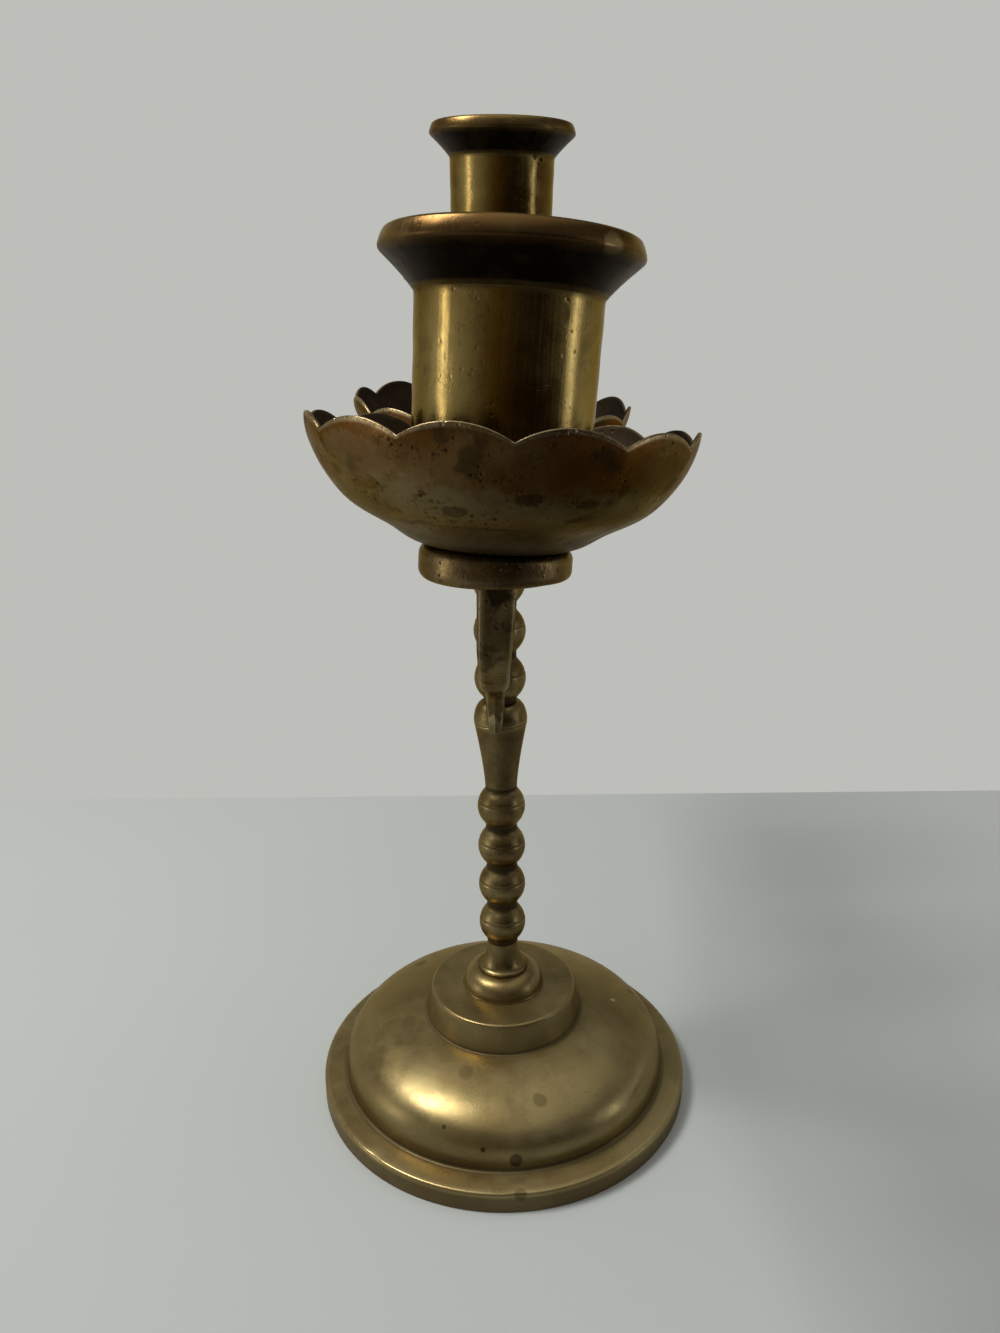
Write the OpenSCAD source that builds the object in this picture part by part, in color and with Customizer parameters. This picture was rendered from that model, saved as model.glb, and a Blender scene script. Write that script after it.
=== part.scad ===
// Five-light brass table candelabra.
// A round domed base carries a turned, beaded stem. Four curved arms stand in one row with the stem,
// and each of the five seats holds a disc, a petalled drip bowl and a candle cup on a short stud.
// The row of arms runs along Y, the front arm at -Y. The origin is on the table, under the stem.

/* [Base] */
// Radius of the base at its rim
base_r = 60; // [56:0.5:70]
// Height of the rim's edge
flange_h = 6.9; // [5:0.1:9]
// Width of the flat flange round the dome
flange_w = 7.6; // [5:0.1:12]
// Rise of the dome from the flange to the raised step
dome_h = 18.9; // [15:0.1:26]
// Radius of the raised step at its foot
step_r = 25.3; // [20:0.1:32]
// Radius of the raised step at its top edge
step_top_r = 23.4; // [17:0.1:25]
// Height of the raised step
step_h = 9.4; // [6:0.1:14]
// Wall of the hollow casting
base_wall = 2.4; // [1.6:0.1:3.2]
// Rounding of the rim's upper edge
rim_round = 1.2; // [0.6:0.1:2]

/* [Foot of the stem] */
// Radius of the round ring that stands on the step
ring_r = 12.9; // [10.5:0.1:16]
// Height of the ring
ring_h = 6.1; // [4:0.1:9]
// Radius of the flared foot on the ring
foot_r = 8; // [6.6:0.1:9.5]
// Height of the flared foot up to the lowest bead
foot_h = 10; // [7:0.1:14]

/* [Stem] */
// Radius of the necks between the beads
core_r = 4.9; // [4.2:0.1:5.6]
// Radius of the lower beads
low_bead_r = 7.4; // [6.9:0.1:8.4]
// Spacing of the lower beads
low_pitch = 13.7; // [12.6:0.1:15]
// Number of lower beads
low_beads = 4; // [2:1:6]
// Height of the trumpet-shaped vase
vase_h = 21.4; // [16:0.1:30]
// Radius of the vase at its top, and of the hub's shoulder
vase_r = 8.1; // [7:0.1:9.5]
// Height of the hub from the vase to the lowest upper bead
hub_h = 6.4; // [5:0.1:9]
// Radius of the upper beads
up_bead_r = 7.7; // [7.1:0.1:8.6]
// Spacing of the upper beads
up_pitch = 14.7; // [13.6:0.1:16]
// Number of upper beads
up_beads = 7; // [6:1:9]
// Height of the stem's plain top under the centre disc
top_h = 5.1; // [4:0.1:9]
// Radius of the long rod that ties the stem to the base
rod_r = 2.5; // [2:0.1:2.8]

/* [Tie rod's nut] */
// Width of the nut across its corners, as a radius
nut_r = 4.6; // [3.9:0.1:6]
// Height of the nut
nut_h = 4; // [3:0.1:6]
// Radius of the washer
washer_r = 9; // [7:0.1:12]
// Thickness of the washer
washer_t = 1.5; // [1:0.1:2.5]
// Length of rod that stands out under the nut
rod_below = 2; // [1:0.1:4]

/* [Arms] */
// Width of an arm's strap, seen from its end
arm_w = 6.1; // [5:0.1:7.5]
// Thickness of an arm, seen from the side
arm_t = 5.5; // [4.6:0.1:6.5]
// Height of the four arm seats above the table
seat_h = 203.8; // [198:0.2:212]
// Reach of the outer arms from the stem's axis
outer_reach = 138; // [130:1:150]
// Reach of the inner arms from the stem's axis
inner_reach = 71; // [66:0.5:74]
// Least rise of an inner arm; its root stands on the highest bead that allows it
inner_rise = 47; // [44:0.5:50]
// Width of an arm's root where it ends in a leaf on the stem
leaf_w = 3.9; // [3:0.1:5]
// Height of the leaf over which the root widens to the strap
leaf_h = 9; // [7:0.1:11]
// Thickness of the leaf over the stem's widest place
leaf_t = 1.7; // [1.2:0.1:2.4]

/* [Discs] */
// Radius of the disc under a drip bowl
disc_r = 11.35; // [10.4:0.05:13]
// Thickness of the disc
disc_h = 4.3; // [3.4:0.1:5.6]
// Rounding of the disc's edges
disc_round = 1.3; // [0.6:0.1:1.6]

/* [Drip bowls] */
// Radius of a drip bowl at its petal tips
bowl_r = 28; // [26:0.1:31]
// Radius of the flat floor of the bowl
bowl_floor_r = 9.6; // [7:0.1:10.2]
// Height of the petal tips over the underside
bowl_h = 17.9; // [14:0.1:22]
// Thickness of the bowl's sheet
bowl_t = 0.9; // [0.7:0.05:1.3]
// Number of petals
petals = 12; // [8:1:16]
// Depth of the valleys between petals
petal_dip = 2.1; // [1:0.1:3]

/* [Candle cups] */
// Height of a candle cup
cup_h = 41; // [36:0.1:48]
// Lift of the cup over the bowl's floor: its edge rests on the bowl's curve
cup_lift = 0.4; // [0.2:0.05:0.8]
// Chamfer of the cup's foot and of its lip
cup_edge = 0.65; // [0.4:0.05:0.9]
// Width of the flat on top of the lip
lip_land = 1.3; // [0.8:0.1:2]
// Radius of the cup at its foot
cup_foot_r = 12.7; // [12.3:0.05:13.2]
// Radius of the cup under its lip
cup_r = 13.3; // [12.8:0.05:14]
// Radius of the lip
lip_r = 18.5; // [17:0.1:21]
// Height of the lip's upright band
lip_band = 2.6; // [1.8:0.1:4]
// Height of the flare under the band
lip_flare = 5.2; // [3.8:0.1:7]
// Radius of the candle socket
socket_r = 11.1; // [10.6:0.05:11.5]
// Depth of the straight socket under the lip's funnel
socket_depth = 27; // [20:0.5:30]
// Depth of the funnel inside the lip
funnel_h = 5; // [3.5:0.1:6]
// Radius of the stud that holds disc, bowl and cup together
stud_r = 1.9; // [1.5:0.1:2.2]
// Length of the stud below the disc
stud_below = 8; // [6:0.1:9]
// Length of the stud inside the cup's floor
stud_above = 4; // [3:0.1:5]

/* [Bend of each candle set] */
// Front outer set, shift to the right
front_outer_shift = -0.65; // [-2:0.05:2]
// Front outer set, degrees of lean to the right
front_outer_lean = 3.7; // [-5:0.1:5]
// Front outer set, degrees that its near side is low
front_outer_dip = -3.5; // [-5:0.1:5]
// Front inner set, shift to the right
front_inner_shift = -2.1; // [-2.5:0.05:2.5]
// Front inner set, degrees of lean to the right
front_inner_lean = 3.2; // [-5:0.1:5]
// Front inner set, degrees that its near side is low
front_inner_dip = 4.7; // [-5:0.1:5]
// Centre set, shift to the right
centre_shift = 0.9; // [-1.5:0.05:1.5]
// Centre set, degrees of lean to the right
centre_lean = 1.3; // [-5:0.1:5]
// Centre set, degrees that its near side is low
centre_dip = 4; // [-5:0.1:5]
// Rear inner set, shift to the right
rear_inner_shift = 0.6; // [-2:0.05:2]
// Rear inner set, degrees of lean to the right
rear_inner_lean = -0.8; // [-5:0.1:5]
// Rear inner set, degrees that its near side is low
rear_inner_dip = -1.5; // [-5:0.1:5]
// Rear outer set, shift to the right
rear_outer_shift = -0.4; // [-2:0.05:2]
// Rear outer set, degrees of lean to the right
rear_outer_lean = 0.9; // [-5:0.1:5]
// Rear outer set, degrees that its near side is low
rear_outer_dip = 3.5; // [-5:0.1:5]
// Front outer arm, shift of its root on the stem
front_root_shift = -1.6; // [-2:0.1:2]

/* [Hidden] */

// Gap between parts that slip over each other
slip_gap = 0.1;
// Overrun of every cut
cut_over = 1;
// Rise of the petals' circles over the rim, which leaves a narrow flat on each tip
tip_rise = 0.06;
// Smoothness of round parts
round_fn = 96;
// Degrees between the points of a rounded edge
round_step = 15;
// Points along the dome, the bowl, a short curve and an arm
dome_steps = 18;
bowl_steps = 14;
curve_steps = 12;
arm_steps = 26;

// Straightness of the dome's and the bowl's outlines: 0 is a square corner, 0.5 an ellipse, 1 a cone
dome_straight_share = 0.3333;
bowl_straight_share = 0.588;
// Bend of the vase's outline away from a cone
vase_bend_share = 0.35;
// Straight edge of the stem's foot, as a share of its height
foot_edge_share = 0.1;
// How far the lip's flare follows a straight cone, the rest of it being a trumpet's curve
flare_cone_share = 0.75;
// Where the arm's curve starts and how it swings, as shares of its run and of its rise
arm_pull_out_shares = [0.05, 0.55];
arm_pull_in_shares = [1, 0.66];
// Turn of the petals of the five bowls, from the front set to the rear one, as shares of a petal
petal_turn_shares = [0.583, 0.667, 0.3, 0.133, 0.8];

// Heights on the stem, from the table up
step_z = flange_h + dome_h;
ring_z = step_z + step_h;
dome_r = base_r - flange_w;
foot_z = ring_z + ring_h;
low_z = foot_z + foot_h;
vase_z = low_z + low_beads * low_pitch;
hub_z = vase_z + vase_h;
up_z = hub_z + hub_h;
top_z = up_z + up_beads * up_pitch;
stem_top_z = top_z + top_h;
rod_end_z = stem_top_z - stud_below - up_pitch / 2;
washer_z = ring_z - base_wall - washer_t;
nut_z = washer_z - nut_h;
rod_foot_z = nut_z - rod_below;
inner_root_bead = max(0, floor((seat_h - inner_rise - up_z) / up_pitch));
inner_root_z = up_z + (inner_root_bead + 0.5) * up_pitch;

// Levels of a candle set above the disc's underside
bowl_z = disc_h;
cup_z = bowl_z + bowl_t + cup_lift;
cup_top_z = cup_z + cup_h;
band_z = cup_top_z - lip_band;
flare_z = band_z - lip_flare;
funnel_z = cup_top_z - funnel_h;
socket_z = funnel_z - socket_depth;

// One candle set: shift to the right, distance along the row, height, lean, dip, turn of the petals
SET_FRONT_OUTER = [
    front_outer_shift, -outer_reach, seat_h, front_outer_lean, front_outer_dip, petal_turn_shares[0]];
SET_FRONT_INNER = [
    front_inner_shift, -inner_reach, seat_h, front_inner_lean, front_inner_dip, petal_turn_shares[1]];
SET_CENTRE = [
    centre_shift, 0, stem_top_z, centre_lean, centre_dip, petal_turn_shares[2]];
SET_REAR_INNER = [
    rear_inner_shift, inner_reach, seat_h, rear_inner_lean, rear_inner_dip, petal_turn_shares[3]];
SET_REAR_OUTER = [
    rear_outer_shift, outer_reach, seat_h, rear_outer_lean, rear_outer_dip, petal_turn_shares[4]];

// Puts what is drawn for a set on its seat
module on_seat(set) {
    translate([set[0], set[1], set[2]]) rotate([set[4], set[3], 0]) children();
}

// Everything above a set's seat, for cutting the carrier off square with the disc
module above_seat(set) {
    on_seat(set) translate([0, 0, cup_h / 2]) cube([2 * bowl_r, 2 * bowl_r, cup_h], center = true);
}

// The hole for a set's stud below the disc
module stud_hole(set) {
    on_seat(set) translate([0, 0, -stud_below - slip_gap])
        cylinder(r = stud_r + slip_gap, h = stud_below + cut_over, $fn = round_fn);
}

// A slip-over hole for a rod of radius r, through a piece h high that stands at level 0
module through_hole(r, h) {
    translate([0, 0, -cut_over]) cylinder(r = r + slip_gap, h = h + 2 * cut_over, $fn = round_fn);
}

// Height of the dome over the flange at radius r, for a dome of radius a that reaches level b at radius c
function crown(r, a, b, c) = b
    * pow((1 - pow(r / a, 1 / dome_straight_share)) / (1 - pow(c / a, 1 / dome_straight_share)),
        dome_straight_share);

// Outline of the dome from radius a in to radius c
function dome_line(a, b, c, z) = [for (i = [0 : dome_steps])
    let (r = a - (a - c) * pow(i / dome_steps, 2)) [r, z + crown(r, a, b, c)]];

// Hollow base: flange, dome and raised step in one piece
module base_shell() {
    inner_line = dome_line(dome_r - base_wall, dome_h, step_r - base_wall, flange_h - base_wall);
    color("#7d6a3c") rotate_extrude($fn = round_fn) polygon(concat(
        [[base_r - base_wall, 0], [base_r, 0], [base_r, flange_h - rim_round]],
        [for (a = [round_step : round_step : 90])
            [base_r - rim_round * (1 - cos(a)), flange_h - rim_round * (1 - sin(a))]],
        dome_line(dome_r, dome_h, step_r, flange_h),
        [[step_top_r, ring_z], [rod_r + slip_gap, ring_z], [rod_r + slip_gap, ring_z - base_wall]],
        [[step_top_r - base_wall, ring_z - base_wall]],
        [for (i = [dome_steps : -1 : 0]) inner_line[i]],
        [[base_r - base_wall, flange_h - base_wall]]
    ));
}

// Washer under the roof of the base
module base_washer() {
    color("#8f8358") translate([0, 0, washer_z]) difference() {
        cylinder(r = washer_r, h = washer_t, $fn = round_fn);
        through_hole(rod_r, washer_t);
    }
}

// Hexagon nut that pulls the rod down
module base_nut() {
    color("#8f8358") translate([0, 0, nut_z]) difference() {
        cylinder(r = nut_r, h = nut_h, $fn = 6);
        through_hole(rod_r, nut_h);
    }
}

// Long rod through the stem
module tie_rod() {
    color("#77787a") translate([0, 0, rod_foot_z])
        cylinder(r = rod_r, h = rod_end_z - rod_foot_z, $fn = round_fn);
}

// The rod's hole through a stem part that stands at height z and is h high
module rod_hole(z, h) {
    translate([0, 0, z]) through_hole(rod_r, h);
}

// Round ring between the step and the stem's foot
module foot_ring() {
    color("#8a7542") difference() {
        translate([0, 0, ring_z]) rotate_extrude($fn = round_fn) polygon(concat(
            [[0, 0]],
            [for (i = [0 : curve_steps]) let (a = 90 * i / curve_steps)
                [foot_r + (ring_r - foot_r) * cos(a), ring_h * sin(a)]],
            [[0, ring_h]]
        ));
        rod_hole(ring_z, ring_h);
    }
}

// A row of beads on a plain core, from height z up
module beads(z, count, pitch, r) {
    translate([0, 0, z]) cylinder(r = core_r, h = count * pitch, $fn = round_fn);
    for (i = [0 : count - 1]) translate([0, 0, z + (i + 0.5) * pitch]) sphere(r = r, $fn = round_fn);
}

// Flared foot and the four lower beads, turned in one piece
module lower_stem() {
    color("#75623a") difference() {
        union() {
            translate([0, 0, foot_z]) rotate_extrude($fn = round_fn) polygon(concat(
                [[0, 0], [foot_r, 0]],
                [for (i = [0 : curve_steps]) let (a = 90 * i / curve_steps)
                    [core_r + (foot_r - core_r) * (1 - sin(a)),
                     foot_h * (foot_edge_share + (1 - foot_edge_share) * (1 - cos(a)))]],
                [[0, foot_h]]
            ));
            beads(low_z, low_beads, low_pitch, low_bead_r);
        }
        rod_hole(foot_z, vase_z - foot_z);
    }
}

// Trumpet-shaped vase
module vase() {
    color("#75623a") difference() {
        translate([0, 0, vase_z]) rotate_extrude($fn = round_fn) polygon(concat(
            [[0, 0]],
            [for (i = [0 : curve_steps]) let (s = i / curve_steps)
                [core_r + (vase_r - core_r) * pow(s, 1 + vase_bend_share), vase_h * s]],
            [[0, vase_h]]
        ));
        rod_hole(vase_z, vase_h);
    }
}

// The hub's solid: a shoulder that closes in to the neck
module hub_solid() {
    translate([0, 0, hub_z]) rotate_extrude($fn = round_fn) polygon(concat(
        [[0, 0]],
        [for (i = [0 : curve_steps]) let (a = 90 * i / curve_steps)
            [core_r + (vase_r - core_r) * cos(a), hub_h * sin(a)]],
        [[0, hub_h]]
    ));
}

// Hub on the vase: the roots of the outer arms are brazed to its shoulder
module arm_hub() {
    color("#7d693d") difference() {
        hub_solid();
        rod_hole(hub_z, hub_h);
    }
}

// Upper beads and the plain top of the stem
module upper_stem() {
    color("#75623a") difference() {
        union() {
            beads(up_z, up_beads, up_pitch, up_bead_r);
            translate([0, 0, top_z - cut_over])
                cylinder(r = core_r, h = top_h + 2 * cut_over, $fn = round_fn);
        }
        above_seat(SET_CENTRE);
        translate([0, 0, up_z - cut_over])
            cylinder(r = rod_r + slip_gap, h = rod_end_z - up_z + cut_over + slip_gap, $fn = round_fn);
        stud_hole(SET_CENTRE);
    }
}

// The stem's outside from the hub up, for fitting the arms' roots to it
module stem_surface() {
    translate([0, 0, hub_z - cut_over]) cylinder(r = core_r, h = stem_top_z - hub_z, $fn = round_fn);
    hub_solid();
    for (i = [0 : up_beads - 1]) translate([0, 0, up_z + (i + 0.5) * up_pitch])
        sphere(r = up_bead_r, $fn = round_fn);
}

// A point of the arm's centre line, t from 0 at the root to 1 at the seat
function swing(a, b, c, d, t) = pow(1 - t, 3) * a + 3 * pow(1 - t, 2) * t * b
    + 3 * (1 - t) * pow(t, 2) * c + pow(t, 3) * d;

// The direction square to the centre line there
function across(a, b, c, d, t) = let (v = pow(1 - t, 2) * (b - a) + 2 * (1 - t) * t * (c - b)
    + pow(t, 2) * (d - c)) [v[1], -v[0]] / norm(v);

// An arm's side outline: from a root at radius hub_r and height z out to a seat at the given reach
module arm_outline(hub_r, z, reach) {
    a = [core_r + arm_t / 2, z + hub_h];
    d = [reach, seat_h - stud_below];
    run = d - a;
    b = a + [run[0] * arm_pull_out_shares[0], run[1] * arm_pull_out_shares[1]];
    c = a + [run[0] * arm_pull_in_shares[0], run[1] * arm_pull_in_shares[1]];
    polygon(concat(
        [[core_r / 2, z], [hub_r + leaf_t, z]],
        [for (i = [0 : arm_steps]) swing(a, b, c, d, i / arm_steps)
            + across(a, b, c, d, i / arm_steps) * arm_t / 2],
        [[reach + arm_t / 2, seat_h + disc_h], [reach - arm_t / 2, seat_h + disc_h]],
        [for (i = [arm_steps : -1 : 0]) swing(a, b, c, d, i / arm_steps)
            - across(a, b, c, d, i / arm_steps) * arm_t / 2],
        [[core_r / 2, z + hub_h]]
    ));
}

// One arm as it is cast, for a set, with its root at height z on a stem radius hub_r
module arm(set, hub_r, z, root_shift) {
    side = sign(set[1]);
    reach = abs(set[1]);
    turn = atan((set[0] - root_shift) / reach);
    difference() {
        translate([root_shift, 0, 0]) rotate([0, 0, side < 0 ? turn : 180 - turn]) intersection() {
            rotate([90, 0, -90]) linear_extrude(height = arm_w, center = true) arm_outline(hub_r, z, reach);
            translate([0, cut_over, 0]) rotate([90, 0, 0])
                linear_extrude(height = reach + lip_r) polygon([
                    [-leaf_w / 2, z], [leaf_w / 2, z], [arm_w / 2, z + leaf_h], [arm_w / 2, seat_h + cup_h],
                    [-arm_w / 2, seat_h + cup_h], [-arm_w / 2, z + leaf_h]]);
        }
        above_seat(set);
        stud_hole(set);
        stem_surface();
    }
}

module front_outer_arm() {
    color("#6f5c36") arm(SET_FRONT_OUTER, vase_r, hub_z, front_root_shift);
}
module front_inner_arm() {
    color("#6f5c36") arm(SET_FRONT_INNER, up_bead_r, inner_root_z, 0);
}
module rear_inner_arm() {
    color("#6f5c36") arm(SET_REAR_INNER, up_bead_r, inner_root_z, 0);
}
module rear_outer_arm() {
    color("#6f5c36") arm(SET_REAR_OUTER, vase_r, hub_z, 0);
}

// Disc with rounded edges under a bowl
module disc(set) {
    color("#76592f") on_seat(set) difference() {
        rotate_extrude($fn = round_fn) polygon(concat(
            [[0, 0]],
            [for (a = [0 : round_step : 90])
                [disc_r - disc_round * (1 - sin(a)), disc_round * (1 - cos(a))]],
            [for (a = [0 : round_step : 90])
                [disc_r - disc_round * (1 - cos(a)), disc_h - disc_round * (1 - sin(a))]],
            [[0, disc_h]]
        ));
        through_hole(stud_r, disc_h);
    }
}

// Outline of a bowl of floor radius a, rim radius b and height h, from the floor up to the rim
function bowl_line(a, b, h, z) = [for (i = [0 : bowl_steps]) let (t = 90 * i / bowl_steps)
    [a + (b - a) * pow(sin(t), 2 * bowl_straight_share),
     z + h * (1 - pow(cos(t), 2 * bowl_straight_share))]];

// Half the width of a petal at the rim, and the radius of its rounded top
petal_half = bowl_r * sin(180 / petals);
petal_round = (pow(petal_half, 2) + pow(petal_dip, 2)) / (2 * petal_dip);

// What is cut away between two petals, seen from outside, with the tips at height 0
module petal_valley() {
    difference() {
        translate([-petal_half, -petal_dip - cut_over]) square([2 * petal_half, petal_dip + 2 * cut_over]);
        for (s = [-1, 1]) translate([s * petal_half, -petal_round]) circle(r = petal_round, $fn = round_fn);
    }
}

// Petalled drip bowl of thin sheet
module bowl(set) {
    outer = bowl_line(bowl_floor_r, bowl_r, bowl_h, 0);
    inner = bowl_line(bowl_floor_r, bowl_r - bowl_t, bowl_h - bowl_t, bowl_t);
    color("#6b5230") on_seat(set) translate([0, 0, bowl_z]) difference() {
        rotate_extrude($fn = round_fn) polygon(concat(
            [[0, 0]], outer, [for (i = [bowl_steps : -1 : 0]) inner[i]], [[0, bowl_t]]
        ));
        through_hole(stud_r, bowl_t);
        for (i = [0 : petals - 1]) rotate([0, 0, (i + 0.5 + set[5]) * 360 / petals])
            translate([bowl_r - petal_dip, 0, bowl_h + tip_rise]) rotate([90, 0, 90])
                linear_extrude(height = 2 * petal_dip) petal_valley();
    }
}

// Candle cup: a slightly tapered cylinder with a flared, banded lip and a blind socket
module cup(set) {
    color("#7a6437") on_seat(set) difference() {
        rotate_extrude($fn = round_fn) polygon(concat(
            [[0, cup_z], [cup_foot_r - cup_edge, cup_z], [cup_foot_r, cup_z + cup_edge]],
            [for (i = [0 : curve_steps]) let (s = i / curve_steps)
                [cup_r + (lip_r - cup_r)
                    * (flare_cone_share * s + (1 - flare_cone_share) * (1 - cos(90 * s))),
                 flare_z + lip_flare * s]],
            [[lip_r, cup_top_z - cup_edge], [lip_r - cup_edge, cup_top_z]],
            [[lip_r - cup_edge - lip_land, cup_top_z]],
            [[socket_r, funnel_z], [socket_r, socket_z], [0, socket_z]]
        ));
        translate([0, 0, cup_z - cut_over])
            cylinder(r = stud_r + slip_gap, h = stud_above + slip_gap + cut_over, $fn = round_fn);
    }
}

// Stud from the carrier up into the cup's floor
module stud(set) {
    color("#77787a") on_seat(set) translate([0, 0, -stud_below])
        cylinder(r = stud_r, h = stud_below + cup_z + stud_above, $fn = round_fn);
}

module front_outer_disc() { disc(SET_FRONT_OUTER); }
module front_inner_disc() { disc(SET_FRONT_INNER); }
module centre_disc() { disc(SET_CENTRE); }
module rear_inner_disc() { disc(SET_REAR_INNER); }
module rear_outer_disc() { disc(SET_REAR_OUTER); }

module front_outer_bowl() { bowl(SET_FRONT_OUTER); }
module front_inner_bowl() { bowl(SET_FRONT_INNER); }
module centre_bowl() { bowl(SET_CENTRE); }
module rear_inner_bowl() { bowl(SET_REAR_INNER); }
module rear_outer_bowl() { bowl(SET_REAR_OUTER); }

module front_outer_cup() { cup(SET_FRONT_OUTER); }
module front_inner_cup() { cup(SET_FRONT_INNER); }
module centre_cup() { cup(SET_CENTRE); }
module rear_inner_cup() { cup(SET_REAR_INNER); }
module rear_outer_cup() { cup(SET_REAR_OUTER); }

module front_outer_stud() { stud(SET_FRONT_OUTER); }
module front_inner_stud() { stud(SET_FRONT_INNER); }
module centre_stud() { stud(SET_CENTRE); }
module rear_inner_stud() { stud(SET_REAR_INNER); }
module rear_outer_stud() { stud(SET_REAR_OUTER); }

base_shell();
base_washer();
base_nut();
tie_rod();
foot_ring();
lower_stem();
vase();
arm_hub();
upper_stem();
front_outer_arm();
front_inner_arm();
rear_inner_arm();
rear_outer_arm();
front_outer_disc();
front_inner_disc();
centre_disc();
rear_inner_disc();
rear_outer_disc();
front_outer_bowl();
front_inner_bowl();
centre_bowl();
rear_inner_bowl();
rear_outer_bowl();
front_outer_cup();
front_inner_cup();
centre_cup();
rear_inner_cup();
rear_outer_cup();
front_outer_stud();
front_inner_stud();
centre_stud();
rear_inner_stud();
rear_outer_stud();
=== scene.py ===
# Five-light brass table candelabra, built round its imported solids.
# Metres throughout. The row of arms runs along Y, the photographed end at -Y, and +X is to the right.
import math

import bpy
import numpy as np
from mathutils import Matrix, Vector


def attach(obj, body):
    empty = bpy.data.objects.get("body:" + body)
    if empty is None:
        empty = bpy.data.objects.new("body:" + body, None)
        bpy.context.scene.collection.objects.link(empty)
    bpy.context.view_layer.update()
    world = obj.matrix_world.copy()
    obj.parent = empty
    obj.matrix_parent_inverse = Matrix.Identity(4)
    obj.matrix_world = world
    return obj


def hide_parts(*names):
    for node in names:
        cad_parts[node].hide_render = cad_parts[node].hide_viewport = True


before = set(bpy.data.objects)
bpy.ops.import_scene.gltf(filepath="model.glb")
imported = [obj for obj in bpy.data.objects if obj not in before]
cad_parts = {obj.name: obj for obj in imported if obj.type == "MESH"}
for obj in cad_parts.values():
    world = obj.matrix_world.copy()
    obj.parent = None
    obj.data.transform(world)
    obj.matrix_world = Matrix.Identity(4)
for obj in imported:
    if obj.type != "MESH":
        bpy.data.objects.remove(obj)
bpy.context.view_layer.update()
scene = bpy.context.scene
MM = 0.001


# ---- Camera, table and light ----
# The photograph is taken by hand from one end of the row, a little above the front cup, looking down.
# The object stands on a pale grey cloth that ends in front of a white background.


def stand(name, data):
    """Puts a mesh, a curve, a lamp or the camera's lens into the scene as an object."""
    obj = bpy.data.objects.new(name, data)
    scene.collection.objects.link(obj)
    return obj


camera_place = (0, -0.283, 0.2367)
camera_pitch = 18.04
camera_roll = -0.56
focal_pixels = 1000
frame_height = 1333
sensor_long_side = 36

lens = bpy.data.cameras.new("Camera")
lens.sensor_width = sensor_long_side
lens.lens = sensor_long_side * focal_pixels / frame_height
lens.clip_start = 0.01
camera = stand("Camera", lens)
camera.matrix_world = (
    Matrix.Translation(camera_place)
    @ Matrix.Rotation(math.radians(90 - camera_pitch), 4, "X")
    @ Matrix.Rotation(math.radians(camera_roll), 4, "Z")
)
scene.camera = camera
scene.view_settings.view_transform = "Standard"


def feed(tree, node, wires):
    """Gives inputs of a node their values or wires."""
    for key, value in wires.items():
        if isinstance(value, bpy.types.NodeSocket):
            tree.links.new(value, node.inputs[key])
        else:
            node.inputs[key].default_value = value


def put(tree, kind, wires=None, **settings):
    """Adds one node, with its settings and the values or wires of its inputs."""
    node = tree.nodes.new(kind)
    for key, value in settings.items():
        setattr(node, key, value)
    feed(tree, node, wires or {})
    return node


def calc(tree, operation, a, b=0.0, clamp=False):
    """One step of arithmetic in a node tree."""
    return put(tree, "ShaderNodeMath", {0: a, 1: b}, operation=operation, use_clamp=clamp).outputs[0]


def product(tree, *factors):
    """Several shares multiplied."""
    value = factors[0]
    for factor in factors[1:]:
        value = calc(tree, "MULTIPLY", value, factor)
    return value


def distance(tree, a, b):
    """How far apart two places are."""
    return put(tree, "ShaderNodeVectorMath", {0: a, 1: b}, operation="DISTANCE").outputs["Value"]


def fade(tree, value, low, high, to_low=0.0, to_high=1.0, kind="SMOOTHSTEP"):
    """Takes a value from low..high to to_low..to_high, smoothly or, with LINEAR, evenly."""
    wires = {"Value": value, "From Min": low, "From Max": high, "To Min": to_low, "To Max": to_high}
    return put(tree, "ShaderNodeMapRange", wires, interpolation_type=kind).outputs[0]


def blend(tree, share, a, b):
    """Mixes two colours, each a wire or its red, green and blue."""
    a, b = (c + (1,) if isinstance(c, tuple) else c for c in (a, b))
    return put(tree, "ShaderNodeMix", {0: share, 6: a, 7: b}, data_type="RGBA").outputs[2]


def noise(tree, place, scale, detail=3.0, roughness=0.55, stretch=None):
    """Noise of so many grains to the metre, drawn out where stretch says so."""
    if stretch:
        place = put(tree, "ShaderNodeMapping", {"Vector": place, "Scale": stretch}).outputs[0]
    wires = {"Vector": place, "Scale": scale, "Detail": detail, "Roughness": roughness}
    return put(tree, "ShaderNodeTexNoise", wires).outputs[0]


def new_finish(name):
    """A new material, with its node tree, its shader and its object's coordinates."""
    material = bpy.data.materials.new(name)
    material.use_nodes = True
    tree = material.node_tree
    return material, tree, tree.nodes["Principled BSDF"], put(tree, "ShaderNodeTexCoord").outputs["Object"]


def cloth(name, colour, variation):
    """Matt stage material with the faintest unevenness."""
    material, tree, shader, place = new_finish(name)
    darker = tuple(c * (1 - variation) for c in colour)
    feed(tree, shader, {
        "Base Color": blend(tree, noise(tree, place, 6), darker, colour), "Roughness": 0.9, "Specular IOR Level": 0.1})
    return material


def sheet(name, low, high, level, material):
    """A flat rectangle of the stage."""
    (x0, y0), (x1, y1) = low, high
    mesh = bpy.data.meshes.new(name)
    mesh.from_pydata([(x0, y0, level), (x1, y0, level), (x1, y1, level), (x0, y1, level)], [], [(0, 1, 2, 3)])
    mesh.materials.append(material)
    obj = stand(name, mesh)


cloth_edge = 0.216
white_board = (0.515, 0.520, 0.490)
cloth_grey = cloth("Cloth", (0.475, 0.505, 0.52), 0.05)
sheet("Table_cloth", (-0.8, -0.8), (0.8, cloth_edge), 0.0, cloth_grey)

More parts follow.
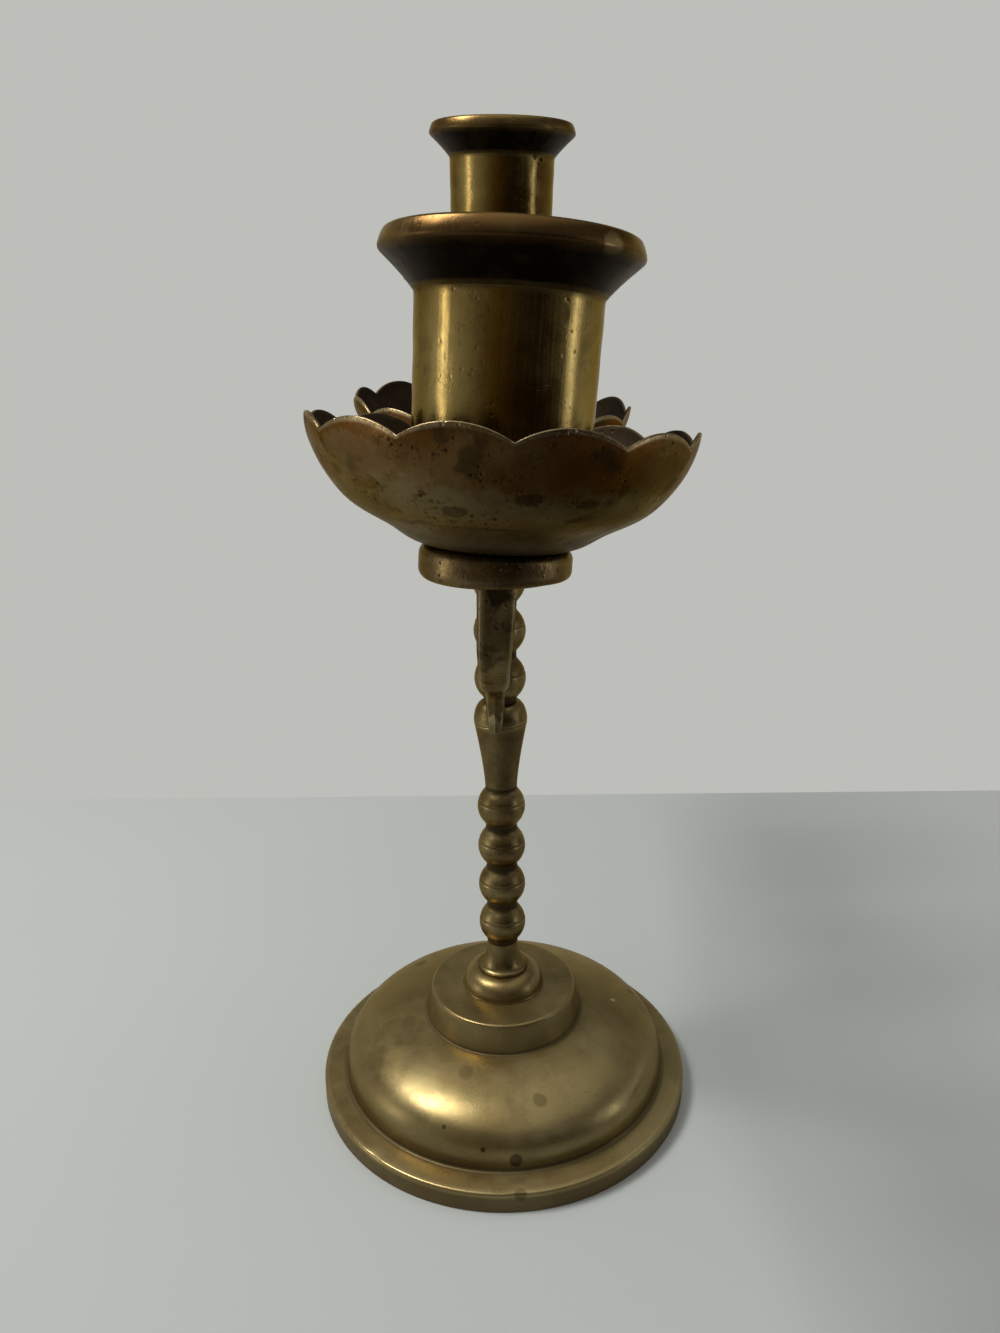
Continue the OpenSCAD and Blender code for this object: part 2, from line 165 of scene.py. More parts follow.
# In front of the object the metal shows the cloth in the photographer's shade
tree = cloth_grey.node_tree
cloth_colour = tree.nodes["Principled BSDF"].inputs["Base Color"]
shade_middle, shade_colour = (0.14, -0.36, 0), (0.095, 0.083, 0.060)
off = distance(tree, put(tree, "ShaderNodeTexCoord").outputs["Object"], shade_middle)
shaded = product(tree, fade(tree, off, 0.42, 0.10), put(tree, "ShaderNodeLightPath").outputs["Is Glossy Ray"])
tree.links.new(blend(tree, shaded, cloth_colour.links[0].from_socket, shade_colour), cloth_colour)

# The white board, a hair lower than the cloth, shows its own even white to the camera and to the metal
board_level = -0.0002
board = cloth("White board", (0.6, 0.6, 0.57), 0.03)
tree = board.node_tree
rays = put(tree, "ShaderNodeLightPath").outputs
even = put(tree, "ShaderNodeEmission", {"Color": white_board + (1,), "Strength": 1.0})
seen = calc(tree, "MAXIMUM", rays["Is Camera Ray"], rays["Is Glossy Ray"])
seen = calc(tree, "MAXIMUM", seen, rays["Is Transmission Ray"])
both = put(tree, "ShaderNodeMixShader", {0: seen, 1: tree.nodes["Principled BSDF"].outputs[0], 2: even.outputs[0]})
tree.links.new(both.outputs[0], tree.nodes["Material Output"].inputs["Surface"])
sheet("Background", (-8, cloth_edge), (8, 12), board_level, board)

# The room by direction: white behind the object and brighter overhead. The metal also shows the dim,
# warm room that the camera stands in, a grey board at the left and a far window at the right
dark_corner, brown_room, grey_board = (0.016, 0.009, 0.002), (0.09, 0.052, 0.011), (0.33, 0.32, 0.30)
far_window, upper_wall = (0.50, 0.50, 0.48), (0.155, 0.15, 0.14)
ceiling_left, ceiling_right = (1.05, 1.02, 0.92), (0.56, 0.55, 0.50)
world = bpy.data.worlds.new("Room")
scene.world = world
world.use_nodes = True
sky = world.node_tree
sky.nodes.clear()
across, ahead, up = put(sky, "ShaderNodeSeparateXYZ", {0: put(sky, "ShaderNodeTexCoord").outputs["Generated"]}).outputs
to_window = calc(sky, "SUBTRACT", product(sky, ahead, 0.75), product(sky, across, 0.66))
overhead = blend(sky, fade(sky, across, -0.2, 0.6), ceiling_left, ceiling_right)
room = dark_corner
for share, colour in (
    (fade(sky, to_window, -0.98, -0.50), brown_room),
    (fade(sky, to_window, -0.62, 0.60), white_board),
    (product(sky, fade(sky, ahead, 0.1, 0.5), fade(sky, across, -0.5, -0.8)), grey_board),
    (product(sky, fade(sky, across, 0.72, 0.92), fade(sky, up, 0.08, 0.20)), far_window),
    (fade(sky, up, 0.34, 0.46), upper_wall),
    (fade(sky, up, 0.70, 0.86), overhead),
    (put(sky, "ShaderNodeLightPath").outputs["Is Camera Ray"], white_board),
):
    room = blend(sky, share, room, colour)
background = put(sky, "ShaderNodeBackground", {"Color": room, "Strength": 1.0})
put(sky, "ShaderNodeOutputWorld", {"Surface": background.outputs[0]})


def lamp(name, turn, height, away, size, power, colour, aim, spread=180):
    """A soft box: turn is from the camera's side towards the right, height above the horizon, in degrees."""
    light = bpy.data.lights.new(name, "AREA")
    light.shape = "RECTANGLE"
    light.size, light.size_y = size
    light.spread = math.radians(spread)
    light.energy = power
    light.color = colour
    obj = stand(name, light)
    a, e = math.radians(turn), math.radians(height)
    way = Vector((math.sin(a) * math.cos(e), -math.cos(a) * math.cos(e), math.sin(e)))
    obj.matrix_world = Matrix.Translation(Vector(aim) + way * away) @ way.to_track_quat("Z", "Y").to_matrix().to_4x4()
    obj.visible_camera = False


lamp("Window_above", -90, 60, 1.1, (0.37, 0.36), 8.3, (1.0, 0.97, 0.90), aim=(-0.02, -0.04, 0.08))
lamp("Window_left", -80, 3, 2.0, (0.26, 0.9), 3.3, (1.0, 0.93, 0.82), aim=(0, -0.07, 0.15))
lamp("Window_right", 90, 0, 0.63, (0.11, 0.30), 0.042, (0.96, 0.97, 1.0), aim=(0, -0.20, 0.17), spread=70)


# ---- Base ----
# A hollow casting of yellow brass, turned on a lathe: a flat flange with a rounded edge, a full dome
# and a raised step. It has been handled for years, so it is satin, a little blotchy and worn bright
# on its edges, with dirt in the corners and a few dark spots.

# Pieces of one kind keep lathe places that lie so many metres apart, so that a stain is on one alone
lathe_step = 0.5


def bump(tree, height, depth, over=None, sunk=False):
    """Fine relief so many metres high, over an earlier one."""
    wires = {"Height": height, "Distance": depth}
    if over is not None:
        wires["Normal"] = over
    return put(tree, "ShaderNodeBump", wires, invert=sunk).outputs[0]


def aged_brass(name, bright, deep, tarnish, rough, clouds=40, mottle=0.4, stains=0.3, pits=0.3, streaks=0.0,
               worn=0.4, dirt_and_shade=0.6, grain=0.5, bare_metal=1.0, black=0.55, dirt_shine=0.5, heat=None, tide=None,
               spots=(), flat_spots=1.0):
    """Old brass. The piece's edge attribute says where it is worn bright or dirty, and on the beads it also
    paints shade over their lower halves. The soot attribute says where it was never cleaned, and on the cups'
    flare it is painted shade: black is its share of the tarnish colour. heat is (low, high, colour, share) and
    tide (level, width, share), heights on the lathe in mm. spots are stains at (x, y, z, radius, share) in mm,
    on the lathe, and a share below 0 is bright wear; on the arms and the front cup a few are painted shade and
    painted highlights. flat_spots says how many times wider than high they are."""
    pit_black, dirt_and_shade_brown, sheen_tint = (0.012, 0.008, 0.004), (0.018, 0.012, 0.006), (0.72, 0.60, 0.42)
    polish_and_highlight = tuple(min(1.0, c * 1.7 + 0.06) for c in bright)
    stain_and_shade, soot_and_shade_colour = (tuple(share * c for c in tarnish) for share in (0.6, black))
    material, tree, shader, place = new_finish(name)
    own, edge, soot_and_shade = (put(tree, "ShaderNodeAttribute", attribute_name=kept).outputs[kind]
                       for kept, kind in (("own", "Vector"), ("edge", "Fac"), ("soot_and_shade", "Fac")))
    level = calc(tree, "FLOORED_MODULO", put(tree, "ShaderNodeSeparateXYZ", {0: own}).outputs[2], lathe_step)
    big = noise(tree, place, clouds, 4)
    mid = noise(tree, place, clouds * 5, 5, 0.62)
    small = noise(tree, place, 1300, 4, 0.65)
    sway = calc(tree, "SUBTRACT", mid, 0.5)
    colour = blend(tree, fade(tree, big, 0.36, 0.64), deep, bright)

    # What lies on the metal, and the painted shade and highlights, from the lowest layer up: each has its share and
    # its colour
    layers = []
    if heat:
        low, high, burnt, share = heat
        wavy = calc(tree, "ADD", level, product(tree, sway, 8 * MM))
        zone = product(tree, fade(tree, wavy, low * MM, high * MM), fade(tree, big, 0.62, 0.40, 0.55, 1.0), share)
        layers.append((zone, burnt))
    patch = product(tree, fade(tree, noise(tree, place, clouds * 2.3, 3, 0.5), 0.58, 0.66), stains)
    speck = product(tree, fade(tree, small, 0.50, 0.66), fade(tree, mid, 0.40, 0.60), mottle)
    layers += [(patch, tarnish), (speck, tarnish)]
    if tide:
        at, wide, share = tide
        wavy = calc(tree, "ADD", calc(tree, "SUBTRACT", level, at * MM), product(tree, sway, 2 * MM))
        ring = fade(tree, calc(tree, "ABSOLUTE", wavy), wide * MM, 0.4 * wide * MM)
        layers.append((product(tree, ring, fade(tree, big, 0.42, 0.52), share), tarnish))
    cells = put(tree, "ShaderNodeTexVoronoi", {"Vector": place, "Scale": 900.0}).outputs["Distance"]
    holes = product(tree, fade(tree, cells, 0.32, 0.12), fade(tree, mid, 0.50, 0.60), pits)
    layers.append((holes, pit_black))
    drawn_out = put(tree, "ShaderNodeVectorMath", {0: own, 1: (1, 1, flat_spots)}, operation="MULTIPLY").outputs[0]
    # Stains and bright wear, and on some pieces painted shade and painted highlights
    for x, y, z, radius, share in spots:
        off = distance(tree, drawn_out, (x * MM, y * MM, z * flat_spots * MM))
        off = calc(tree, "ADD", off, product(tree, sway, radius * 1.6 * MM))
        inside = product(tree, fade(tree, off, 1.1 * radius * MM, 0.7 * radius * MM), abs(share))
        layers.append((inside, stain_and_shade if share > 0 else polish_and_highlight))
    bare = product(tree, fade(tree, edge, 0.15, 0.85), fade(tree, small, 0.3, 0.6, 0.45, 1.0), worn)
    # Dirt in the inner corners, and painted shade where a piece's edge value is set below 0 for it
    dirt_and_shade_mask = product(tree, fade(tree, edge, -0.1, -0.9), dirt_and_shade)
    # Soot, and on the cups' flare painted shade, which darkens and dulls the metal
    grime_and_shade = product(tree, soot_and_shade, fade(tree, mid, 0.25, 0.65, 1.0, 0.8))
    layers += [(bare, polish_and_highlight), (dirt_and_shade_mask, dirt_and_shade_brown), (calc(tree, "MULTIPLY", grime_and_shade, 1.4, clamp=True), soot_and_shade_colour)]
    for share, coat in layers:
        colour = blend(tree, share, colour, coat)

    dull = fade(tree, noise(tree, place, clouds * 3.2, 5, 0.65), 0.3, 0.7, *rough)
    for share, part in ((0.10, patch), (0.06, speck), (-0.08, bare), (0.25, dirt_and_shade_mask), (0.22, grime_and_shade)):
        dull = calc(tree, "ADD", dull, product(tree, part, share))
    relief = bump(tree, small, 0.03 * MM * grain)
    relief = bump(tree, mid, 0.10 * MM * grain, relief)
    if pits:
        relief = bump(tree, holes, 0.12 * MM, relief, sunk=True)
    if streaks:
        lines = noise(tree, own, 1.0, 3, 0.6, stretch=(2600, 2600, 40))
        dull = calc(tree, "ADD", dull, fade(tree, lines, 0.3, 0.7, -0.05 * streaks, 0.06 * streaks))
        relief = bump(tree, lines, 0.012 * MM * streaks, relief)
    covered = calc(tree, "MAXIMUM", product(tree, dirt_and_shade_mask, 0.35), grime_and_shade)
    feed(tree, shader, {
        "Base Color": colour, "Roughness": calc(tree, "MAXIMUM", dull, 0.12), "Normal": relief,
        "Metallic": calc(tree, "SUBTRACT", bare_metal, covered, clamp=True),
        "Specular IOR Level": dirt_shine, "Specular Tint": sheen_tint + (1,)})
    return material


def outline(corners, closed=False, spacing=0.9, reach=0.8):
    """Points of an outline from (radius, height, rounding) corners in mm, the metal on the left.
    Each point gets its edge value: up to 1 on a worn outer corner, down to -1 in a dirty inner one,
    and none at a corner whose rounding is given below 0."""
    points, signs = [], []
    count = len(corners)
    for i, (radius, height, rounding) in enumerate(corners):
        here = Vector((radius, height))
        if rounding == 0 or (not closed and i in (0, count - 1)):
            points.append(here)
            signs.append(0.0)
            continue
        back = Vector(corners[i - 1][:2]) - here
        on = Vector(corners[(i + 1) % count][:2]) - here
        turn = math.pi - back.angle(on)
        side = 1 if (-back).x * on.y - (-back).y * on.x > 0 else -1
        cut = min(abs(rounding) * math.tan(turn / 2), 0.49 * back.length, 0.49 * on.length)
        bend = cut / math.tan(turn / 2)
        start = here + back.normalized() * cut
        centre = here + (back.normalized() + on.normalized()).normalized() * bend / math.cos(turn / 2)
        x, y = start - centre
        steps = max(3, math.ceil(math.degrees(turn) / 14))
        for k in range(steps + 1):
            a = side * turn * k / steps
            points.append(centre + Vector((x * math.cos(a) - y * math.sin(a), x * math.sin(a) + y * math.cos(a))))
            signs.append(side * min(1.0, math.degrees(turn) / 50) if rounding > 0 else 0.0)
    dense, values = [], []
    total = len(points)
    for i in range(total if closed else total - 1):
        a, b = points[i], points[(i + 1) % total]
        pieces = max(1, math.ceil((b - a).length / spacing))
        for k in range(pieces):
            dense.append(a.lerp(b, k / pieces))
            values.append(signs[i] if k == 0 else 0.0)
    if not closed:
        dense.append(points[-1])
        values.append(signs[-1])
    marked = [(p, v) for p, v in zip(dense, values) if v]
    edges = []
    for p in dense:
        near = min(marked, key=lambda m: (m[0] - p).length, default=None)
        edges.append(near[1] * math.exp(-(((near[0] - p).length / reach) ** 2)) if near else 0.0)
    return [(p.x * MM, p.y * MM, e) for p, e in zip(dense, edges)]


def mark(mesh, name, values):
    """Keeps a number or a vector at each point of a mesh."""
    kind = "FLOAT_VECTOR" if np.ndim(values) == 2 else "FLOAT"
    layer = mesh.attributes.get(name) or mesh.attributes.new(name, kind, "POINT")
    layer.data.foreach_set("vector" if kind == "FLOAT_VECTOR" else "value", np.asarray(values, np.float32).ravel())


def points_of(mesh, what="co"):
    """All the points of a mesh, or their normals, as rows of x, y and z."""
    flat = np.zeros(len(mesh.vertices) * 3, np.float32)
    mesh.vertices.foreach_get(what, flat)
    return flat.reshape(-1, 3)


def turned(name, line, around=160, closed=False, place=None, shift=0.0, shape=None, soot_and_shade_at=None):
    """The mesh of a turned piece. Its first and last points may lie on the axis. It keeps where each
    point was on the lathe, as own, and its edge value. shape may press a dent into it, and the last argument
    says, from radius and height in mm, which points carry soot and, on the cups' flare, painted shade."""
    verts, edges, rings = [], [], []
    for radius, height, edge in line:
        count = around if radius else 1
        rings.append(range(len(verts), len(verts) + count))
        for k in range(count):
            a = 2 * math.pi * k / around
            verts.append((radius * math.cos(a), radius * math.sin(a), height))
            edges.append(edge)
    faces = []
    for lower, upper in zip(rings, rings[1:] + (rings[:1] if closed else [])):
        for k in range(around):
            m = (k + 1) % around
            if len(lower) == 1:
                faces.append((lower[0], upper[m], upper[k]))
            elif len(upper) == 1:
                faces.append((lower[k], lower[m], upper[0]))
            else:
                faces.append((lower[k], lower[m], upper[m], upper[k]))
    own = np.array(verts)
    placed = own if shape is None else shape(own)
    mesh = bpy.data.meshes.new(name)
    mesh.from_pydata(placed.tolist(), [], faces)
    mesh.shade_smooth()
    mark(mesh, "own", own + np.array((0, 0, shift)))
    mark(mesh, "edge", edges)
    flat = np.hypot(own[:, 0], own[:, 1]) / MM
    mark(mesh, "soot_and_shade", soot_and_shade_at(flat, own[:, 2] / MM) if soot_and_shade_at else np.zeros(len(own)))
    if place is not None:
        mesh.transform(place)
    return stand(name, mesh)


def dress(piece, material, slot, *nodes):
    """Gives a finished piece its finish and its place in the frame, and puts it in its nodes' stead."""
    if not piece.data.materials:
        piece.data.materials.append(material)
    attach(piece, "root")
    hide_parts(*nodes)


base_r, flange_h, dome_r, dome_h = 60, 6.9, 52.4, 18.9
step_r, step_top_r, step_h = 25.3, 23.4, 9.4
base_wall, rim_round, flange_fall = 2.4, 0.9, 0.3
step_z = flange_h + dome_h
ring_z = step_z + step_h
rod_hole_r = 2.6


def dome_points(radius, foot, steps=26):
    """The dome's outline from its foot in to the step, in mm."""
    end = step_r if radius == dome_r else step_r - base_wall
    rise = (1 - (end / radius) ** 3) ** (1 / 3)
    found = []
    for i in range(steps + 1):
        r = radius - (radius - end) * (i / steps) ** 2
        found.append((r, foot + dome_h * (1 - min(1.0, r / radius) ** 3) ** (1 / 3) / rise, 0))
    return found


outer_dome = dome_points(dome_r, flange_h)
inner_dome = dome_points(dome_r - base_wall, flange_h - base_wall)
base_line = outline(
    [(base_r - base_wall, 0, 0.3), (base_r, 0, -0.35), (base_r, flange_h - flange_fall, rim_round)]
    + [(dome_r, flange_h + flange_fall, 0.8)] + outer_dome[1:-1] + [(step_r, step_z, 0.5)]
    + [(step_top_r, ring_z, -0.9), (rod_hole_r, ring_z, 0.2), (rod_hole_r, ring_z - base_wall, 0.2)]
    + [(step_top_r - base_wall, ring_z - base_wall, 0.8)] + inner_dome[::-1]
    + [(base_r - base_wall, flange_h - base_wall, 0.8)],
    closed=True, spacing=1.1,
)


def base_dents(points):
    """Two small knocks in the rim: one at the front edge, one at the left."""
    out = points.copy()
    for angle, height, depth, wide, tall in ((-86.5, 6.0, 0.45, 2.4, 1.1), (-131, 6.6, 0.3, 2.0, 0.9)):
        a = math.radians(angle)
        spot = np.array((base_r * math.cos(a), base_r * math.sin(a), height)) * MM
        off = points - spot
        along = off[:, 0] * -math.sin(a) + off[:, 1] * math.cos(a)
        inward = off[:, 0] * math.cos(a) + off[:, 1] * math.sin(a)
        press = np.exp(-((along / (wide * MM)) ** 2) - ((off[:, 2] / (tall * MM)) ** 2) - ((inward / (2 * MM)) ** 2))
        out[:, 0] -= press * depth * MM * math.cos(a)
        out[:, 1] -= press * depth * MM * math.sin(a)
        out[:, 2] -= press * depth * 0.5 * MM
    return out


def base_soot(radius, height):
    """The hollow underside, rough from the sand and never cleaned, and the browner side of the rim."""
    radii, heights, _ = zip(*inner_dome)
    wall = np.interp(height, heights, radii)
    wall = np.where(height < inner_dome[0][1] - 0.1, base_r - base_wall, wall)
    wall = np.where(height > inner_dome[-1][1] + 0.5, step_top_r - base_wall, wall)
    under = (radius < wall + 0.6) & (height < ring_z - 0.5 * base_wall) & (height > 0.2)
    side = (radius > base_r - 0.1) & (height < flange_h - 2)
    return np.where(under, 1.0, np.where(side, 0.5, 0.0))


base_spots = [
    (10.6, -40.6, 22.3, 2.3, 0.45), (-6.3, -51.1, 14.1, 0.75, 0.95), (-17.7, -46.0, 17.7, 0.7, 0.8),
    (3.2, -52.1, 11.2, 2.1, 0.8), (4.4, -59.8, 6.0, 2.0, 0.7), (-11.6, -31.2, 24.7, 2.8, 0.35),
    (37.2, 4.3, 23.8, 0.8, -0.8), (-30, 28, 22.8, 2.5, 0.5), (12, 47, 17.5, 1.6, 0.8), (44, 14, 19.3, 1.8, 0.5),
]
base_brass = aged_brass(
    "Base brass", (0.290, 0.231, 0.108), (0.212, 0.159, 0.067), (0.10, 0.065, 0.025), (0.25, 0.41),
    clouds=30, mottle=0.28, stains=0.20, pits=0.12, worn=0.16, grain=0.42, bare_metal=0.83, spots=base_spots)
base = turned("Base", base_line, around=240, closed=True, shape=base_dents, soot_and_shade_at=base_soot)
dress(base, base_brass, "base_brass", "base_shell")


# ---- Tie rod, washer and nut ----
# Plain steel fittings, seen only from below: a long rod with a rolled thread, a turned washer and a
# hexagon nut with its corners chamfered. The nut pulls the stem down onto the base.


def plain_steel(name):
    """Old bare steel with a little brown rust."""
    steel_grey, rust_brown = (0.42, 0.42, 0.41), (0.17, 0.10, 0.06)
    material, tree, shader, place = new_finish(name)
    patches = noise(tree, place, 220, 5, 0.6)
    rust = fade(tree, patches, 0.5, 0.66)
    feed(tree, shader, {
        "Base Color": blend(tree, rust, steel_grey, rust_brown), "Roughness": fade(tree, patches, 0.3, 0.7, 0.32, 0.7),
        "Metallic": calc(tree, "SUBTRACT", 1.0, product(tree, rust, 0.6)),
        "Normal": bump(tree, noise(tree, place, 1800, 3), 0.03 * MM)})
    return material


steel = plain_steel("Rod steel")
washer_r, washer_t = 9, 1.5
nut_r, nut_h, rod_below = 4.6, 4, 2
rod_r, rod_end_z = 2.5, 226.55
thread_pitch, thread_depth, thread_start, end_chamfer = 0.7, 0.3, 0.5, 0.7
washer_z = ring_z - base_wall - washer_t
nut_z = washer_z - nut_h
rod_foot_z = nut_z - rod_below

washer_line = outline(
    [(rod_hole_r, washer_z, 0.15), (washer_r, washer_z, 0.4), (washer_r, washer_z + washer_t, 0.3),
     (rod_hole_r, washer_z + washer_t, 0.15)], closed=True, spacing=1)
dress(turned("Washer", washer_line, around=96, closed=True), steel, "rod_steel", "base_washer")

thread = [(0, rod_foot_z, 0), (rod_r - end_chamfer, rod_foot_z, 0.1)]
turns = int((rod_below + nut_h + washer_t) / thread_pitch)
for i in range(turns):
    foot = rod_foot_z + thread_start + i * thread_pitch
    thread += [(rod_r - thread_depth, foot, 0), (rod_r, foot + thread_pitch / 2, 0)]
thread += [(rod_r, rod_end_z, 0.2), (0, rod_end_z, 0)]
dress(turned("Tie_rod", outline(thread, spacing=12), around=48), steel, "rod_steel", "tie_rod")


def nut_mesh():
    """A hexagon nut: six flats, cut round at both ends by a chamfering cone."""
    around, levels = 96, 14
    chamfer_start, chamfer_slope = 0.05, 1.9
    flat = nut_r * math.cos(math.radians(30))
    angles = [2 * math.pi * k / around for k in range(around)]
    loops = []
    for j in range(levels + 1):
        z = nut_h * j / levels
        cone = flat + chamfer_start + chamfer_slope * min(z, nut_h - z)
        radii = [min(flat / math.cos((a % math.radians(60)) - math.radians(30)), cone) for a in angles]
        loops.append([(r * math.cos(a) * MM, r * math.sin(a) * MM, (nut_z + z) * MM) for r, a in zip(radii, angles)])
    for z in (nut_z + nut_h, nut_z):
        loops.append([(rod_hole_r * math.cos(a) * MM, rod_hole_r * math.sin(a) * MM, z * MM) for a in angles])
    faces = []
    for j in range(len(loops)):
        a, b = j * around, ((j + 1) % len(loops)) * around
        faces += [(a + k, a + (k + 1) % around, b + (k + 1) % around, b + k) for k in range(around)]
    mesh = bpy.data.meshes.new("Nut")
    mesh.from_pydata([v for loop in loops for v in loop], [], faces)
    return stand("Nut", mesh)


dress(nut_mesh(), steel, "rod_steel", "base_nut")


# ---- Ring under the stem ----
# A turned quarter-round ring that stands on the step of the base, with a small fillet round its foot.
ring_r, ring_h, foot_r = 12.9, 6.1, 8
fillet_w, fillet_h = 0.35, 0.45
ring_line = outline(
    [(rod_hole_r, ring_z, 0), (ring_r + fillet_w, ring_z, 0), (ring_r + 0.08, ring_z + 0.2, 0)]
    + [(foot_r + (ring_r - foot_r) * math.cos(a), ring_z + fillet_h + (ring_h - fillet_h) * math.sin(a), 0)
       for a in np.linspace(0, math.pi / 2, 18)]
    + [(rod_hole_r, ring_z + ring_h, 0)], closed=True, spacing=0.7)
dress(turned("Foot_ring", ring_line, around=128, closed=True), base_brass, "base_brass", "foot_ring")


# ---- Beaded stem ----
# Two lengths of turned brass bar, the lower one with a flared foot and four beads, the upper one with
# seven beads and a plain top. Every bead carries a fine turned line above its widest place.
core_r = 4.9
foot_h, low_bead_r, low_pitch, low_beads = 10, 7.4, 13.7, 4
up_bead_r, up_pitch, up_beads, top_h = 7.7, 14.7, 7, 5.1
vase_h, vase_r, hub_h = 21.4, 8.1, 6.4
foot_z = ring_z + ring_h
low_z = foot_z + foot_h
vase_z = low_z + low_beads * low_pitch
hub_z = vase_z + vase_h
up_z = hub_z + hub_h
top_z = up_z + up_beads * up_pitch
stem_top_z = top_z + top_h
line_rise, line_depth, line_wide = 1.9, 0.16, 0.28


def hump(value, middle, width):
    """1 at the middle, falling to nothing at both sides."""
    return math.exp(-(((value - middle) / width) ** 2))


def bead_line(radius, pitch, soft=0.35):
    """Half necks and one bead between them, from height 0 to the pitch, as (radius, height, edge).
    soft is how round the bead runs into its necks, which hold dirt, like the turned line."""
    found = []
    for z in np.linspace(-pitch / 2, pitch / 2, 75):
        ball = math.sqrt(max(radius ** 2 - z ** 2, 0))
        r = min(soft * math.log(math.exp(ball / soft) + math.exp(core_r / soft)), radius)
        r -= line_depth * hump(z, line_rise, line_wide)
        # Dirt in the necks and the turned line, and over the lower half a painted shade
        dirt_and_shade = hump(abs(z), pitch / 2, 1.3) + hump(z, line_rise, 0.2) + 0.3 * max(0, -z - 1) / (pitch / 2)
        bright = 0.45 * hump(z, line_rise - 0.5, 0.25) + 0.2 * hump(z, 1, 2.5)
        found.append((r * MM, (z + pitch / 2) * MM, bright - 0.95 * min(dirt_and_shade, 1.0)))
    return found


def geometry_tree(name, numbers, **others):
    """A new Geometry Nodes tree. Its named inputs are numbers, and others of the kinds given."""
    tree = bpy.data.node_groups.new(name, "GeometryNodeTree")
    kinds = {"Geometry": "Geometry", **others, **dict.fromkeys(numbers, "Float")}
    for label, kind in kinds.items():
        tree.interface.new_socket(label, in_out="INPUT", socket_type="NodeSocket" + kind)
    tree.interface.new_socket("Geometry", in_out="OUTPUT", socket_type="NodeSocketGeometry")
    return tree, put(tree, "NodeGroupInput").outputs


def grow(name, start, tree, values):
    """Runs a Geometry Nodes tree on an object and keeps the result as a plain mesh piece."""
    modifier = start.modifiers.new(name, "NODES")
    modifier.node_group = tree
    for item in tree.interface.items_tree:
        if item.in_out == "INPUT" and item.name in values:
            modifier[item.identifier] = values[item.name]
    start.update_tag()
    bpy.context.view_layer.update()
    graph = bpy.context.evaluated_depsgraph_get()
    mesh = bpy.data.meshes.new_from_object(start.evaluated_get(graph), preserve_all_data_layers=True, depsgraph=graph)
    mesh.name = name
    mesh.shade_smooth()
    piece = stand(name, mesh)
    start.modifiers.remove(modifier)
    bpy.data.objects.remove(start)
    return piece


def end_tree(tree, given, last):
    """Gives what a node has made its finish, as the outcome of the tree."""
    painted = put(tree, "GeometryNodeSetMaterial", {"Geometry": last.outputs[0], "Material": given["Finish"]})
    put(tree, "NodeGroupOutput", {0: painted.outputs[0]})


tree, given = geometry_tree("Bead row", ["Pitch", "First bead"], Bead="Object", Count="Int", Finish="Material")
bead_tree = tree
start_at = put(tree, "ShaderNodeCombineXYZ", {"Z": given["First bead"]}).outputs[0]
step_by = put(tree, "ShaderNodeCombineXYZ", {"Z": given["Pitch"]}).outputs[0]
row = put(tree, "GeometryNodeMeshLine", {"Count": given["Count"], "Start Location": start_at, "Offset": step_by})
one_bead = put(tree, "GeometryNodeObjectInfo", {"Object": given["Bead"]}).outputs["Geometry"]
set_out = put(tree, "GeometryNodeInstanceOnPoints", {"Points": row.outputs[0], "Instance": one_bead})
solid = put(tree, "GeometryNodeRealizeInstances", {"Geometry": set_out.outputs[0]})
whole = put(tree, "GeometryNodeJoinGeometry")
tree.links.new(solid.outputs[0], whole.inputs[0])
tree.links.new(given["Geometry"], whole.inputs[0])
end_tree(tree, given, put(tree, "GeometryNodeMergeByDistance", {"Geometry": whole.outputs[0], "Distance": 0.01 * MM}))

stem_brass = aged_brass(
    "Stem brass", (0.245, 0.188, 0.086), (0.150, 0.107, 0.046), (0.060, 0.038, 0.016), (0.28, 0.41),
    clouds=90, stains=0.35, pits=0.2, worn=0.45, dirt_and_shade=0.85, grain=0.4)


def beaded_stem(name, node, foot, top, bead_r, pitch, count, first_z):
    """Beads in a row with the plain foot and top of their bar, in one mesh."""
    bead, start, more = (turned(name + part, line, around=72) for part, line in (
        ("_bead", bead_line(bead_r, pitch)), ("_foot", foot), ("_top", top)))
    with bpy.context.temp_override(active_object=start, selected_editable_objects=[start, more]):
        bpy.ops.object.join()
    piece = grow(name, start, bead_tree, {
        "Bead": bead, "Count": count, "Pitch": pitch * MM, "First bead": first_z * MM, "Finish": stem_brass})
    bpy.data.objects.remove(bead)
    dress(piece, stem_brass, "stem_brass", node)


neck_r = bead_line(low_bead_r, low_pitch)[0][0] / MM
edge_share = 0.1
foot_line = outline(
    [(0, foot_z, 0), (foot_r, foot_z, -0.25), (foot_r, foot_z + foot_h * edge_share, -0.4)]
    + [(neck_r + (foot_r - neck_r) * (1 - math.sin(a)),
        foot_z + foot_h * (edge_share + (1 - edge_share) * (1 - math.cos(a))), 0)
       for a in np.linspace(0.05, math.pi / 2, 20)], spacing=0.6)
low_cap = [(neck_r * MM, vase_z * MM, -0.5), (0, vase_z * MM, 0)]
beaded_stem("Lower_stem", "lower_stem", foot_line, low_cap, low_bead_r, low_pitch, low_beads, low_z)

up_neck_r = bead_line(up_bead_r, up_pitch)[0][0] / MM
up_foot = [(0, up_z * MM, 0), (up_neck_r * MM, up_z * MM, -0.6)]
into_disc = 0.3
bar_end = stem_top_z + into_disc
up_top = outline([(up_neck_r, top_z, 0), (core_r, top_z + 0.8, 0), (core_r, bar_end, 0), (0, bar_end, 0)], spacing=0.8)
beaded_stem("Upper_stem", "upper_stem", up_foot, up_top, up_bead_r, up_pitch, up_beads, up_z)


